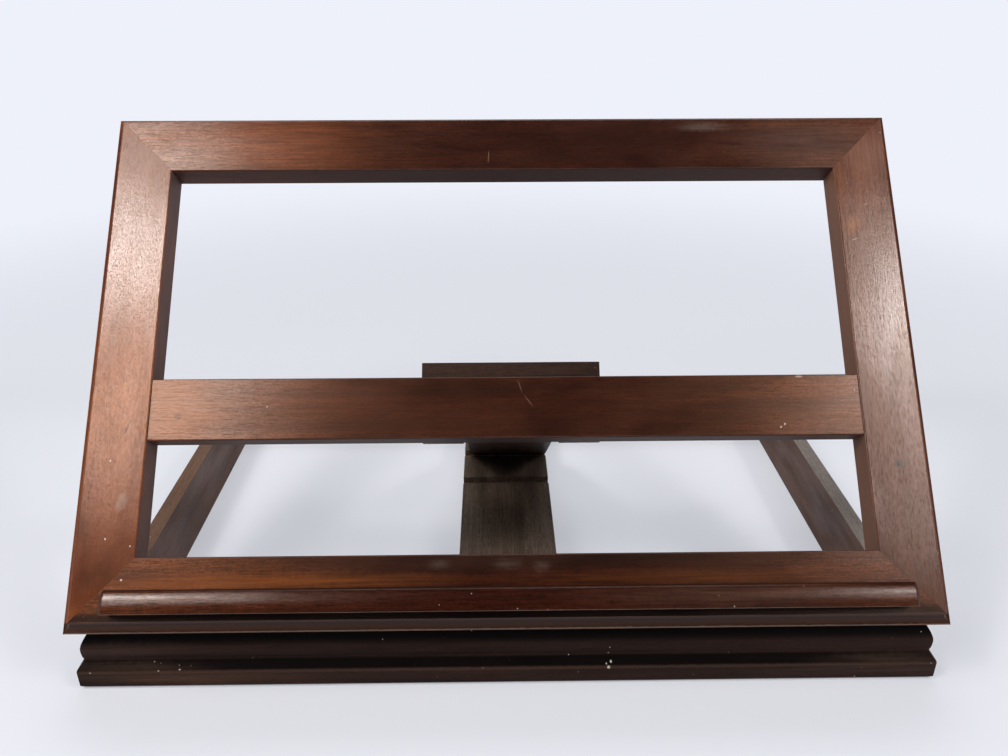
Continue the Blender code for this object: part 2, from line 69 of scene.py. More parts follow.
# Grain of mahogany in real sizes, along the board and across it
RIBBON = (170 * MM, 11 * MM)
MOTTLE = (60 * MM, 22 * MM)
LONG_STREAKS = (38 * MM, 1.4 * MM)
SHORT_STREAKS = (7 * MM, 1.9 * MM)
GRIT = (1.9 * MM, 1.2 * MM)
# Real pores are about 0.2 mm wide, finer than a pixel, so they are drawn about 1 mm wide
LONG_PORES = (9 * MM, 0.75 * MM)
SHORT_PORES = (1.9 * MM, 0.95 * MM)
UPRIGHT_PORES = (6 * MM, 0.8 * MM)
# How finely each part of the figure is broken up, and how much it wanders
FIGURE = {"ribbon": (RIBBON, 3, 0.7), "mottle": (MOTTLE, 3, 0.6), "grit": (GRIT, 3, 0)}
STREAK_DETAIL, STREAK_WANDER = 2, 0.2
# The middle part of a noise's range, which is spread from none to full
NOISE_MIDDLE = (0.34, 0.66)
# A pore fades out between these distances from its centre, and pores show more or less by chance
PORE_RIM = (0.2, 0.5)
PORE_CHANCE = (-0.4, 0.8)
# The dark parts of the grain: how much each shows, and its colour
DARK_GRAIN = {"streak": (0.4, "#130805"), "grit": (0.45, "#190b07"), "pores": (0.6, "#0c0503")}
# The grain stands up this little under the polish, and pores sink into it
RELIEF_HEIGHT = 0.04 * MM
RELIEF_STRENGTH = 0.16
PORE_SINK = -1.5

# Polished wood: its deep colours, and the paler ones where hands have rubbed it
DEEP_WOOD = ("#210b06", "#4c1e0f")
RUBBED_WOOD = ("#66301c", "#a45a2b")
# Hands have rubbed it more and more from here to there across the desk, the right side less
RUBBED_LEFT = (-60 * MM, -230 * MM)
RUBBED_RIGHT = (90 * MM, 240 * MM)
RIGHT_SHARE = 0.6
# The shellac film: patchy, thinner over pores and grit
SATIN_GLOSS = (0.28, 0.4)
FILM_ROUGHNESS = 0.21
FILM_PATCHES = (0.75, 1.15)
FILM_GAPS = {"pores": -0.5, "grit": -0.35}
FIBRE_SHEEN = "#ffb07c"
# Only faces that look out of the desk keep their polish; its edges are dull and mostly of another colour
POLISHED_FACING = (0.6, 0.95)
EDGE_SHARE = 0.65
EDGE_ROUGHNESS = 0.6
# The hollow along the desk's lower edge, darkened by grime and painted shade
HOLLOW_WIDTH = 6 * MM
GRIME_AND_SHADE_FADE = (1.1 * HOLLOW_WIDTH, 0.95 * HOLLOW_WIDTH)
GRIME_AND_SHADE_SHARE = 0.85
GRIME_AND_SHADE = "#1a120f"

# Stained wood: its dull gloss, and the paler colour on faces that look into the base
OLD_GLOSS = (0.42, 0.6)
INSIDE_COLOURS = ("#5c4033", "#704e3d")
INSIDE_FACING = (0.1, 0.6)

# A mark wider than this many millimetres fades out softly and streaks show through it; others are crisp
BROAD_MARK = 9
STREAKS_IN_MARK = 0.45
CRISP_RIM = 0.6
# Marks reach this many millimetres into the wood, and their outlines wander by a share of their size
MARK_DEPTH = 6
RAGGED = 4 * MM
RAGGED_SHARE = 0.5
NOISE_CENTRE = (0.5, 0.5, 0.5)
# Old paint and dust: specks this wide, more of them where the spacing of their pattern is less
SPECK = 0.9 * MM
SPECK_CORE = 0.6
SPECK_COLOUR = "#cbbfb0"
FEW_SPECKS = 14 * MM
MANY_SPECKS = 9 * MM
# Arrises rubbed paler: how near to the arris, how far the surface turns there, and not at a board's ends
RUB_REACH = 0.8 * MM
RUB_SAMPLES = 6
RUB_TURN = (0.2, 0.5)
RUB_SHARE = 0.85
RUB_LEAST = 0.5
END_TURN = 0.05


def linear(code):
    """A colour written as sRGB hex, as the linear colour that a shader takes."""
    parts = [int(code[i:i + 2], 16) / 255 for i in (1, 3, 5)]
    return [c / 12.92 if c <= 0.04045 else ((c + 0.055) / 1.055) ** 2.4 for c in parts] + [1.0]


def put(tree, kind, inputs=None, **settings):
    """Adds one node, gives it its settings, and sets or links its inputs."""
    node = tree.nodes.new(kind)
    for key, value in settings.items():
        setattr(node, key, value)
    for key, value in (inputs or {}).items():
        if isinstance(value, bpy.types.NodeSocket):
            tree.links.new(value, node.inputs[key])
        else:
            node.inputs[key].default_value = value
    return node


def fresh(name):
    """A new material, with its node tree and its shader."""
    material = bpy.data.materials.new(name)
    material.use_nodes = True
    tree = material.node_tree
    return material, tree, tree.nodes["Principled BSDF"]


def along(size):
    """Mapping scale that makes one unit of a pattern as long and as wide as the given sizes."""
    return 1 / size[0], 1 / size[1], 1 / size[1]


# French-polished mahogany: a warm red-brown ribbon figure with short dark pores, whose fibres throw back
# an orange sheen, under a clear shellac film that has worn satin; hands have rubbed it paler towards the
# ends, and bloom and scratches mark it
def polished_mahogany(name, turned, shift, length_axis, tones, marks):
    material, tree, shader = fresh(name)
    coordinates = put(tree, "ShaderNodeTexCoord").outputs
    desk = put(tree, "ShaderNodeMapping", {
        "Vector": coordinates["Object"], "Rotation": TO_DESK,
        "Location": -(TO_DESK.to_matrix() @ DESK_CORNER)}).outputs[0]
    board = put(tree, "ShaderNodeMapping", {
        "Vector": desk, "Rotation": (0, 0, -QUARTER if turned else 0), "Location": shift}).outputs[0]
    figure = grain(tree, board, tones["pores"], tones["streaks"])
    spot = put(tree, "ShaderNodeSeparateXYZ", {0: desk}).outputs
    colour = rubbed_mahogany(tree, spot["X"], figure, tones)
    # Grime and painted shade darken the hollow along the lower edge, which also loses its film
    grime_and_shade = put(tree, "ShaderNodeMapRange", {
        "Value": spot["Y"], "From Min": GRIME_AND_SHADE_FADE[0], "From Max": GRIME_AND_SHADE_FADE[1],
        "To Max": GRIME_AND_SHADE_SHARE}).outputs[0]
    colour = put(tree, "ShaderNodeMix", {
        0: grime_and_shade, 6: colour, 7: linear(GRIME_AND_SHADE)}, data_type="RGBA").outputs[2]
    colour = weathered(tree, colour, desk, figure, marks, length_axis, tones)

    facing = put(tree, "ShaderNodeVectorMath", {
        0: coordinates["Normal"], 1: OUT_OF_DESK}, operation="DOT_PRODUCT").outputs[1]
    polished = put(tree, "ShaderNodeMapRange", {
        "Value": facing, "From Min": POLISHED_FACING[0], "From Max": POLISHED_FACING[1]}).outputs[0]
    edge = put(tree, "ShaderNodeMix", {
        0: EDGE_SHARE, 6: colour, 7: linear(tones["edge"])}, data_type="RGBA").outputs[2]
    colour = put(tree, "ShaderNodeMix", {0: polished, 6: edge, 7: colour}, data_type="RGBA").outputs[2]
    gloss = put(tree, "ShaderNodeMapRange", {
        "Value": polished, "To Min": EDGE_ROUGHNESS,
        "To Max": patchy_gloss(tree, figure, SATIN_GLOSS)}).outputs[0]
    finish(tree, shader, colour, gloss, figure)
    tree.links.new(shellac_film(tree, polished, grime_and_shade, figure, tones["film"]), shader.inputs["Coat Weight"])
    shader.inputs["Coat Roughness"].default_value = FILM_ROUGHNESS
    shader.inputs["Specular IOR Level"].default_value = tones["sheen"]
    shader.inputs["Specular Tint"].default_value = linear(FIBRE_SHEEN)
    return material


def rubbed_mahogany(tree, across, figure, tones):
    """The colour of the wood under the film: deep in the middle of the desk, rubbed paler to its sides."""
    rubbed_left = put(tree, "ShaderNodeMapRange", {
        "Value": across, "From Min": RUBBED_LEFT[0], "From Max": RUBBED_LEFT[1]},
        interpolation_type="SMOOTHSTEP").outputs[0]
    rubbed_right = put(tree, "ShaderNodeMapRange", {
        "Value": across, "From Min": RUBBED_RIGHT[0], "From Max": RUBBED_RIGHT[1], "To Max": RIGHT_SHARE},
        interpolation_type="SMOOTHSTEP").outputs[0]
    rubbed = put(tree, "ShaderNodeMath", {0: rubbed_left, 1: rubbed_right}, operation="ADD").outputs[0]
    rubbed = put(tree, "ShaderNodeMath", {0: rubbed, 1: tones["rubbed"]}, operation="MULTIPLY").outputs[0]
    figured = put(tree, "ShaderNodeMix", {
        0: tones["ribbon"], 2: figure["mottle"], 3: figure["ribbon"]}).outputs[0]
    deep, pale = [put(tree, "ShaderNodeMix", {
        0: figured, 6: linear(dark), 7: linear(light)}, data_type="RGBA").outputs[2]
        for dark, light in (DEEP_WOOD, RUBBED_WOOD)]
    return put(tree, "ShaderNodeMix", {0: rubbed, 6: deep, 7: pale}, data_type="RGBA").outputs[2]


def shellac_film(tree, polished, grime_and_shade, figure, strength):
    """How much film is left: none on edges or in the hollow's grime and painted shade, less over pores and
    grit.
    """
    patches = put(tree, "ShaderNodeMapRange", {
        "Value": figure["mottle"],
        "To Min": FILM_PATCHES[0] * strength, "To Max": FILM_PATCHES[1] * strength}).outputs[0]
    film = put(tree, "ShaderNodeMath", {0: polished, 1: patches}, operation="MULTIPLY").outputs[0]
    clean = put(tree, "ShaderNodeMapRange", {"Value": grime_and_shade, "To Min": 1, "To Max": 0}).outputs[0]
    film = put(tree, "ShaderNodeMath", {0: film, 1: clean}, operation="MULTIPLY").outputs[0]
    for part, share in FILM_GAPS.items():
        whole = put(tree, "ShaderNodeMath", {
            0: figure[part], 1: share, 2: 1.0}, operation="MULTIPLY_ADD").outputs[0]
        film = put(tree, "ShaderNodeMath", {0: film, 1: whole}, operation="MULTIPLY").outputs[0]
    return film


# Mahogany stained nearly black with age: the grain shows only faintly, and dirt in the old polish dulls it;
# faces that look into the base are a paler brown, and slopes that face up take dust, and on the front rail
# painted shade
def stained_mahogany(name, rotation, shift, length_axis, inward, tones, marks):
    material, tree, shader = fresh(name)
    coordinates = put(tree, "ShaderNodeTexCoord").outputs
    board = put(tree, "ShaderNodeMapping", {
        "Vector": coordinates["Object"], "Rotation": rotation, "Location": shift}).outputs[0]
    figure = grain(tree, board, LONG_PORES, LONG_STREAKS)
    outside, inside = [put(tree, "ShaderNodeMix", {
        0: figure["ribbon"], 6: linear(dark), 7: linear(light)}, data_type="RGBA").outputs[2]
        for dark, light in ((tones["dark"], tones["light"]), INSIDE_COLOURS)]
    facing = put(tree, "ShaderNodeVectorMath", {
        0: coordinates["Normal"], 1: inward}, operation="DOT_PRODUCT").outputs[1]
    paler = put(tree, "ShaderNodeMapRange", {
        "Value": facing, "From Min": INSIDE_FACING[0], "From Max": INSIDE_FACING[1]}).outputs[0]
    colour = put(tree, "ShaderNodeMix", {0: paler, 6: outside, 7: inside}, data_type="RGBA").outputs[2]
    # Upward slopes take dust; on the front rail this near-black colour is painted shade instead
    up = put(tree, "ShaderNodeSeparateXYZ", {0: coordinates["Normal"]}).outputs["Z"]
    steep, level = tones["dust_and_shade_slopes"]
    dust_and_shade = put(tree, "ShaderNodeMapRange", {
        "Value": up, "From Min": steep, "From Max": level, "To Max": tones["dust_and_shade_share"]},
        interpolation_type="SMOOTHSTEP").outputs[0]
    colour = put(tree, "ShaderNodeMix", {
        0: dust_and_shade, 6: colour, 7: linear(tones["dust_and_shade"])}, data_type="RGBA").outputs[2]
    upright = put(tree, "ShaderNodeMapping", {
        "Vector": coordinates["Object"], "Rotation": (-QUARTER, 0, 0)}).outputs[0]
    colour = weathered(tree, colour, upright, figure, marks, length_axis, tones)
    finish(tree, shader, colour, patchy_gloss(tree, figure, OLD_GLOSS), figure)
    shader.inputs["Specular IOR Level"].default_value = tones["shine"]
    return material


def grain(tree, board, pore, streak):
    """The parts of mahogany's figure, each from 0 to 1, from coordinates that run along the board."""
    figure = {}
    parts = {**FIGURE, "streak": (streak, STREAK_DETAIL, STREAK_WANDER)}
    for part, (size, detail, wander) in parts.items():
        laid = put(tree, "ShaderNodeMapping", {"Vector": board, "Scale": along(size)}).outputs[0]
        noise = put(tree, "ShaderNodeTexNoise", {
            "Vector": laid, "Scale": 1, "Detail": detail, "Distortion": wander}).outputs[0]
        figure[part] = put(tree, "ShaderNodeMapRange", {
            "Value": noise, "From Min": NOISE_MIDDLE[0], "From Max": NOISE_MIDDLE[1]}).outputs[0]
    laid = put(tree, "ShaderNodeMapping", {"Vector": board, "Scale": along(pore)}).outputs[0]
    cells = put(tree, "ShaderNodeTexVoronoi", {"Vector": laid, "Scale": 1}).outputs
    spot = put(tree, "ShaderNodeMapRange", {
        "Value": cells["Distance"], "From Min": PORE_RIM[0], "From Max": PORE_RIM[1],
        "To Min": 1, "To Max": 0}).outputs[0]
    chance = put(tree, "ShaderNodeSeparateColor", {0: cells["Color"]}).outputs[0]
    chance = put(tree, "ShaderNodeMapRange", {
        "Value": chance, "From Min": PORE_CHANCE[0], "From Max": PORE_CHANCE[1]}).outputs[0]
    figure["pores"] = put(tree, "ShaderNodeMath", {0: spot, 1: chance}, operation="MULTIPLY").outputs[0]
    return figure


def weathered(tree, colour, place, figure, marks, length_axis, tones):
    """The board's colour with its dark grain, its marks of use, specks of paint and rubbed arrises."""
    for part, (share, hue) in DARK_GRAIN.items():
        depth = put(tree, "ShaderNodeMath", {
            0: figure[part], 1: share * tones["flecks"]}, operation="MULTIPLY").outputs[0]
        colour = put(tree, "ShaderNodeMix", {
            0: depth, 6: colour, 7: linear(hue)}, data_type="RGBA").outputs[2]
    colour = marked(tree, colour, place, figure, marks)
    colour = specked(tree, colour, place, tones["specks"])
    worn = arris_wear(tree, figure, length_axis)
    return put(tree, "ShaderNodeMix", {
        0: worn, 6: colour, 7: linear(tones["arris"])}, data_type="RGBA").outputs[2]


def marked(tree, colour, place, figure, marks):
    """The colour with each mark of use laid over it in turn."""
    bays = put(tree, "ShaderNodeTexNoise", {"Vector": place, "Scale": 1 / RAGGED, "Detail": 3}).outputs[1]
    swing = put(tree, "ShaderNodeVectorMath", {
        0: bays, 1: NOISE_CENTRE}, operation="SUBTRACT").outputs[0]
    through = put(tree, "ShaderNodeMapRange", {
        "Value": figure["streak"], "To Min": 1, "To Max": STREAKS_IN_MARK}).outputs[0]
    for across, up, length, width, lean, depth, hue, strength in marks:
        broad = width > BROAD_MARK
        nudge = put(tree, "ShaderNodeVectorMath", {
            0: swing, "Scale": RAGGED_SHARE * min(length, width, BROAD_MARK) * MM},
            operation="SCALE").outputs[0]
        moved = put(tree, "ShaderNodeVectorMath", {0: place, 1: nudge}, operation="ADD").outputs[0]
        spot = put(tree, "ShaderNodeMapping", {
            "Vector": moved, "Location": Vector((across, up, depth)) * MM,
            "Rotation": (0, 0, math.radians(lean)),
            "Scale": Vector((length / 2, width / 2, MARK_DEPTH)) * MM}, vector_type="TEXTURE").outputs[0]
        near = put(tree, "ShaderNodeTexGradient", {0: spot}, gradient_type="SPHERICAL").outputs[1]
        share = put(tree, "ShaderNodeMapRange", {
            "Value": near, "From Max": 1 if broad else CRISP_RIM, "To Max": strength},
            interpolation_type="SMOOTHSTEP").outputs[0]
        if broad:
            share = put(tree, "ShaderNodeMath", {0: share, 1: through}, operation="MULTIPLY").outputs[0]
        colour = put(tree, "ShaderNodeMix", {
            0: share, 6: colour, 7: linear(hue)}, data_type="RGBA").outputs[2]
    return colour


def specked(tree, colour, place, spacing):
    """The colour with chalky specks strewn over it, some fainter than others."""
    strewn = put(tree, "ShaderNodeTexVoronoi", {"Vector": place, "Scale": 1 / spacing}).outputs
    radius = SPECK / spacing / 2
    chalky = put(tree, "ShaderNodeSeparateColor", {0: strewn["Color"]}).outputs[0]
    speck = put(tree, "ShaderNodeMapRange", {
        "Value": strewn["Distance"], "From Min": SPECK_CORE * radius, "From Max": radius,
        "To Min": chalky, "To Max": 0}).outputs[0]
    return put(tree, "ShaderNodeMix", {
        0: speck, 6: colour, 7: linear(SPECK_COLOUR)}, data_type="RGBA").outputs[2]


def arris_wear(tree, figure, length_axis):
    """How much the arrises that run along a board are rubbed, in patches."""
    rounded = put(tree, "ShaderNodeBevel", {"Radius": RUB_REACH}, samples=RUB_SAMPLES).outputs[0]
    true = put(tree, "ShaderNodeNewGeometry").outputs["Normal"]
    turned = put(tree, "ShaderNodeVectorMath", {0: rounded, 1: true}, operation="SUBTRACT").outputs[0]
    own = put(tree, "ShaderNodeVectorTransform", {
        0: turned}, vector_type="VECTOR", convert_from="WORLD", convert_to="OBJECT").outputs[0]
    endwise = put(tree, "ShaderNodeVectorMath", {
        0: own, 1: length_axis}, operation="DOT_PRODUCT").outputs[1]
    endwise = put(tree, "ShaderNodeMath", {0: endwise}, operation="ABSOLUTE").outputs[0]
    sides_only = put(tree, "ShaderNodeMapRange", {
        "Value": endwise, "From Max": END_TURN, "To Min": 1, "To Max": 0}).outputs[0]
    amount = put(tree, "ShaderNodeVectorMath", {0: turned}, operation="LENGTH").outputs[1]
    worn = put(tree, "ShaderNodeMapRange", {
        "Value": amount, "From Min": RUB_TURN[0], "From Max": RUB_TURN[1], "To Max": RUB_SHARE}).outputs[0]
    worn = put(tree, "ShaderNodeMath", {0: worn, 1: sides_only}, operation="MULTIPLY").outputs[0]
    patches = put(tree, "ShaderNodeMapRange", {"Value": figure["mottle"], "To Min": RUB_LEAST}).outputs[0]
    return put(tree, "ShaderNodeMath", {0: worn, 1: patches}, operation="MULTIPLY").outputs[0]


def patchy_gloss(tree, figure, gloss):
    """Roughness that wanders between two values with the wood's mottle."""
    return put(tree, "ShaderNodeMapRange", {
        "Value": figure["mottle"], "To Min": gloss[0], "To Max": gloss[1]}).outputs[0]


def finish(tree, shader, colour, gloss, figure):
    """Joins colour, gloss and the fine relief of grain and pores to a wood's shader."""
    relief = put(tree, "ShaderNodeMath", {
        0: figure["grit"], 1: figure["streak"]}, operation="ADD").outputs[0]
    relief = put(tree, "ShaderNodeMath", {
        0: figure["pores"], 1: PORE_SINK, 2: relief}, operation="MULTIPLY_ADD").outputs[0]
    bump = put(tree, "ShaderNodeBump", {
        "Height": relief, "Strength": RELIEF_STRENGTH, "Distance": RELIEF_HEIGHT}).outputs[0]
    tree.links.new(colour, shader.inputs["Base Color"])
    tree.links.new(gloss, shader.inputs["Roughness"])
    tree.links.new(bump, shader.inputs["Normal"])
    tree.links.new(bump, shader.inputs["Coat Normal"])


# Rolled brass gone brown: the yellow metal shows in patches through a dull tarnish
def tarnished_brass():
    yellow, brown = linear("#a5803f"), linear("#5a4223")
    patch_size, patch_rim = 6 * MM, (0.4, 0.65)
    bright, dull = 0.3, 0.6
    material, tree, shader = fresh("tarnished_brass")
    place = put(tree, "ShaderNodeTexCoord").outputs["Object"]
    patches = put(tree, "ShaderNodeTexNoise", {
        "Vector": place, "Scale": 1 / patch_size, "Detail": 4}).outputs[0]
    tarnish = put(tree, "ShaderNodeMapRange", {
        "Value": patches, "From Min": patch_rim[0], "From Max": patch_rim[1]}).outputs[0]
    colour = put(tree, "ShaderNodeMix", {0: tarnish, 6: yellow, 7: brown}, data_type="RGBA").outputs[2]
    gloss = put(tree, "ShaderNodeMapRange", {"Value": tarnish, "To Min": bright, "To Max": dull}).outputs[0]
    tree.links.new(colour, shader.inputs["Base Color"])
    tree.links.new(gloss, shader.inputs["Roughness"])
    shader.inputs["Metallic"].default_value = 1
    return material


# Drawn steel screws and rod: dull grey with brown specks of rust
def dull_steel():
    grey, brown = linear("#8d8a85"), linear("#5b4433")
    rust_size, rust_rim = 1.5 * MM, (0.52, 0.62)
    drawn, rusty = 0.38, 0.7
    material, tree, shader = fresh("dull_steel")
    place = put(tree, "ShaderNodeTexCoord").outputs["Object"]
    specks = put(tree, "ShaderNodeTexNoise", {
        "Vector": place, "Scale": 1 / rust_size, "Detail": 4}).outputs[0]
    rust = put(tree, "ShaderNodeMapRange", {
        "Value": specks, "From Min": rust_rim[0], "From Max": rust_rim[1]}).outputs[0]
    colour = put(tree, "ShaderNodeMix", {0: rust, 6: grey, 7: brown}, data_type="RGBA").outputs[2]
    gloss = put(tree, "ShaderNodeMapRange", {"Value": rust, "To Min": drawn, "To Max": rusty}).outputs[0]
    tree.links.new(colour, shader.inputs["Base Color"])
    tree.links.new(gloss, shader.inputs["Roughness"])
    shader.inputs["Metallic"].default_value = 1
    return material


# Bare beech of tongues and dowels: pale straw with short brown flecks
def bare_beech():
    straw, brown = linear("#caa57a"), linear("#93693f")
    fleck_size = (3 * MM, 0.7 * MM)
    planed = 0.7
    material, tree, shader = fresh("bare_beech")
    place = put(tree, "ShaderNodeTexCoord").outputs["Object"]
    laid = put(tree, "ShaderNodeMapping", {"Vector": place, "Scale": along(fleck_size)}).outputs[0]
    fleck = put(tree, "ShaderNodeTexNoise", {"Vector": laid, "Scale": 1, "Detail": 2}).outputs[0]
    colour = put(tree, "ShaderNodeMix", {0: fleck, 6: straw, 7: brown}, data_type="RGBA").outputs[2]
    tree.links.new(colour, shader.inputs["Base Color"])
    shader.inputs["Roughness"].default_value = planed
    return material


# Modifiers that round a piece's arrises, shade it and close its mitres

# Arrises that turn more than this are rounded; edges that still turn more than that are shaded crisp
ROUNDED_TURN = math.radians(33)
CRISP_TURN = math.radians(38)
# How nearly an arris has to run along the board to be rounded: any way, or lengthwise only
ALL_EDGES = -1
LENGTHWISE = 0.98
# The solids' corners are welded, their flats joined to single faces, and arrises rounded in a few steps
WELD_REACH = 0.01 * MM
FLAT_TURN = math.radians(0.5)
ROUND_STEPS = 2
FLAT_WEIGHT = 100
# Each end of a mitred board goes out by its share of the clearance between the solids
MITRE_SHARE = 0.19 * MM


def board_nodes(name, values):
    """A new tree of modifier nodes that takes a board with some values and gives the board back."""
    tree = bpy.data.node_groups.new(name, "GeometryNodeTree")
    tree.interface.new_socket("Board", in_out="INPUT", socket_type="NodeSocketGeometry")
    for value, kind in values.items():
        tree.interface.new_socket(value, in_out="INPUT", socket_type=kind)
    tree.interface.new_socket("Board", in_out="OUTPUT", socket_type="NodeSocketGeometry")
    return tree, put(tree, "NodeGroupInput").outputs


def eased_arrises():
    """Weighs a board's arrises for rounding: those that run along it, or all of them."""
    tree, given = board_nodes("eased_arrises", {"Along": "NodeSocketVector", "Match": "NodeSocketFloat"})
    ends = put(tree, "GeometryNodeInputMeshEdgeVertices").outputs
    run = put(tree, "ShaderNodeVectorMath", {
        0: ends["Position 1"], 1: ends["Position 2"]}, operation="SUBTRACT").outputs[0]
    run = put(tree, "ShaderNodeVectorMath", {0: run}, operation="NORMALIZE").outputs[0]
    match = put(tree, "ShaderNodeVectorMath", {
        0: run, 1: given["Along"]}, operation="DOT_PRODUCT").outputs[1]
    match = put(tree, "ShaderNodeMath", {0: match}, operation="ABSOLUTE").outputs[0]
    lengthwise = put(tree, "ShaderNodeMath", {
        0: match, 1: given["Match"]}, operation="GREATER_THAN").outputs[0]
    turn = put(tree, "GeometryNodeInputMeshEdgeAngle").outputs["Unsigned Angle"]
    sharp = put(tree, "ShaderNodeMath", {0: turn, 1: ROUNDED_TURN}, operation="GREATER_THAN").outputs[0]
    weight = put(tree, "ShaderNodeMath", {0: lengthwise, 1: sharp}, operation="MULTIPLY").outputs[0]
    stored = put(tree, "GeometryNodeStoreNamedAttribute", {
        "Geometry": given["Board"], "Name": "bevel_weight_edge", "Value": weight},
        data_type="FLOAT", domain="EDGE").outputs[0]
    put(tree, "NodeGroupOutput", {0: stored})
    return tree


def smooth_shading():
    """Shades rounds and mouldings smooth and leaves the arrises crisp."""
    tree, given = board_nodes("smooth_shading", {})
    turn = put(tree, "GeometryNodeInputMeshEdgeAngle").outputs["Unsigned Angle"]
    sharp = put(tree, "FunctionNodeCompare", {0: turn, 1: CRISP_TURN}, operation="GREATER_THAN").outputs[0]
    shaded = put(tree, "GeometryNodeSetMeshNormal", {
        "Mesh": given["Board"], "Remove Custom": True, "Edge Sharpness": sharp},
        mode="SHARPNESS").outputs[0]
    put(tree, "NodeGroupOutput", {0: shaded})
    return tree


def tight_mitres():
    """Closes a board's glued mitres: its two ends, beyond a reach from its middle, go out a little."""
    tree, given = board_nodes("tight_mitres", {
        "Along": "NodeSocketVector", "Middle": "NodeSocketVector", "Reach": "NodeSocketFloat"})
    place = put(tree, "GeometryNodeInputPosition").outputs[0]
    off = put(tree, "ShaderNodeVectorMath", {0: place, 1: given["Middle"]}, operation="SUBTRACT").outputs[0]
    run = put(tree, "ShaderNodeVectorMath", {0: off, 1: given["Along"]}, operation="DOT_PRODUCT").outputs[1]
    way = put(tree, "ShaderNodeMath", {0: run}, operation="SIGN").outputs[0]
    far = put(tree, "ShaderNodeMath", {0: run}, operation="ABSOLUTE").outputs[0]
    ends = put(tree, "FunctionNodeCompare", {
        0: far, 1: given["Reach"]}, operation="GREATER_THAN").outputs[0]
    step = put(tree, "ShaderNodeMath", {0: way, 1: MITRE_SHARE}, operation="MULTIPLY").outputs[0]
    move = put(tree, "ShaderNodeVectorMath", {
        0: given["Along"], "Scale": step}, operation="SCALE").outputs[0]
    closed = put(tree, "GeometryNodeSetPosition", {
        "Geometry": given["Board"], "Selection": ends, "Offset": move}).outputs[0]
    put(tree, "NodeGroupOutput", {0: closed})
    return tree


ARRISES, SHADING, MITRES = eased_arrises(), smooth_shading(), tight_mitres()


def add_board_nodes(thing, name, tree, values):
    """Adds a modifier that runs a tree of nodes on a piece, with these values."""
    modifier = thing.modifiers.new(name, "NODES")
    modifier.node_group = tree
    places = {item.name: item.identifier for item in tree.interface.items_tree if item.in_out == "INPUT"}
    for value, given in values.items():
        modifier[places[value]] = given


def ease(thing, length_axis, match, width):
    """Rounds a piece's arrises a little and shades its mouldings smooth, by modifiers alone."""
    weld = thing.modifiers.new("weld", "WELD")
    weld.merge_threshold = WELD_REACH
    flats = thing.modifiers.new("flats", "DECIMATE")
    flats.decimate_type = "DISSOLVE"
    flats.angle_limit = FLAT_TURN
    if width:
        add_board_nodes(thing, "weigh", ARRISES, {"Along": length_axis, "Match": match})
        arris = thing.modifiers.new("arris", "BEVEL")
        arris.limit_method = "WEIGHT"
        arris.width = width
        arris.segments = ROUND_STEPS
        arris.loop_slide = False
    add_board_nodes(thing, "shade", SHADING, {})
    faces = thing.modifiers.new("flat_faces", "WEIGHTED_NORMAL")
    faces.keep_sharp = True
    faces.weight = FLAT_WEIGHT


# Pieces made here in place of plain solids

def skin(build, rings):
    """Faces between each ring of corners and the next."""
    for one, other in zip(rings, rings[1:]):
        for i in range(len(one)):
            build.faces.new((one[i - 1], one[i], other[i], other[i - 1]))


def new_piece(name, build):
    """The built mesh as an object in the scene."""
    mesh = bpy.data.meshes.new(name)
    build.to_mesh(mesh)
    build.free()
    piece = bpy.data.objects.new(name, mesh)
    bpy.context.scene.collection.objects.link(piece)
    return piece


# The lip's section: a flat foot, then a crowned front that falls back, then a rounded upper edge
LIP_FLAT = 4 * MM
LIP_CROWN = 1.5 * MM
LIP_ROUND_FROM = 2 * MM
LIP_CHAMFER = 2.2 * MM
LIP_STEPS = 6


def crowned_lip():
    """The book lip, with its crowned front, rounded upper edge and chamfered ends."""
    to_desk = TO_DESK.to_matrix()
    corners = [to_desk @ (v.co - DESK_CORNER) for v in frame["nodes"]["book_lip"].data.vertices]
    left, foot, seat = [min(c[i] for c in corners) for i in range(3)]
    right, top, nose = [max(c[i] for c in corners) for i in range(3)]
    flat, bend = foot + LIP_FLAT, top - LIP_ROUND_FROM
    lean = math.atan(2 * LIP_CROWN / (bend - flat))
    radius = LIP_ROUND_FROM / (1 - math.sin(lean))
    shares = [i / LIP_STEPS for i in range(LIP_STEPS + 1)]
    profile = [(foot, seat), (foot, nose)]
    profile += [(flat + (bend - flat) * share, nose - LIP_CROWN * share ** 2) for share in shares]
    turns = [lean + (QUARTER - lean) * share for share in shares[1:]]
    up, out = top - radius, nose - LIP_CROWN - radius * math.cos(lean)
    profile += [(up + radius * math.sin(turn), out + radius * math.cos(turn)) for turn in turns]
    profile.append((top, seat))

    build = bmesh.new()
    rings = []
    ends = ((left, LIP_CHAMFER), (left + LIP_CHAMFER, 0), (right - LIP_CHAMFER, 0), (right, LIP_CHAMFER))
    for x, back in ends:
        places = [Vector((x, up, max(out - back, seat))) for up, out in profile]
        rings.append([build.verts.new(DESK_CORNER + to_desk.transposed() @ place) for place in places])
    build.faces.new(rings[0])
    build.faces.new(rings[-1])
    skin(build, rings)
    bmesh.ops.recalc_face_normals(build, faces=build.faces)
    lip = new_piece("crowned_lip", build)
    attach(lip, "desk")
    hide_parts("book_lip")
    return lip


# Shares of a screw head's radius
SHANK = 0.5
SLOT_WIDTH = 0.34
SLOT_DEPTH = 0.36
SLOT_TOP, SLOT_FLOOR = 0.93, 0.58
# The shank is this many times as thick as the screw's point
SHANK_TO_POINT = 3
SCREW_SIDES = 24
# How far each screw's slot is turned from that of the one before, in radians
SLOT_TURN = 2.4


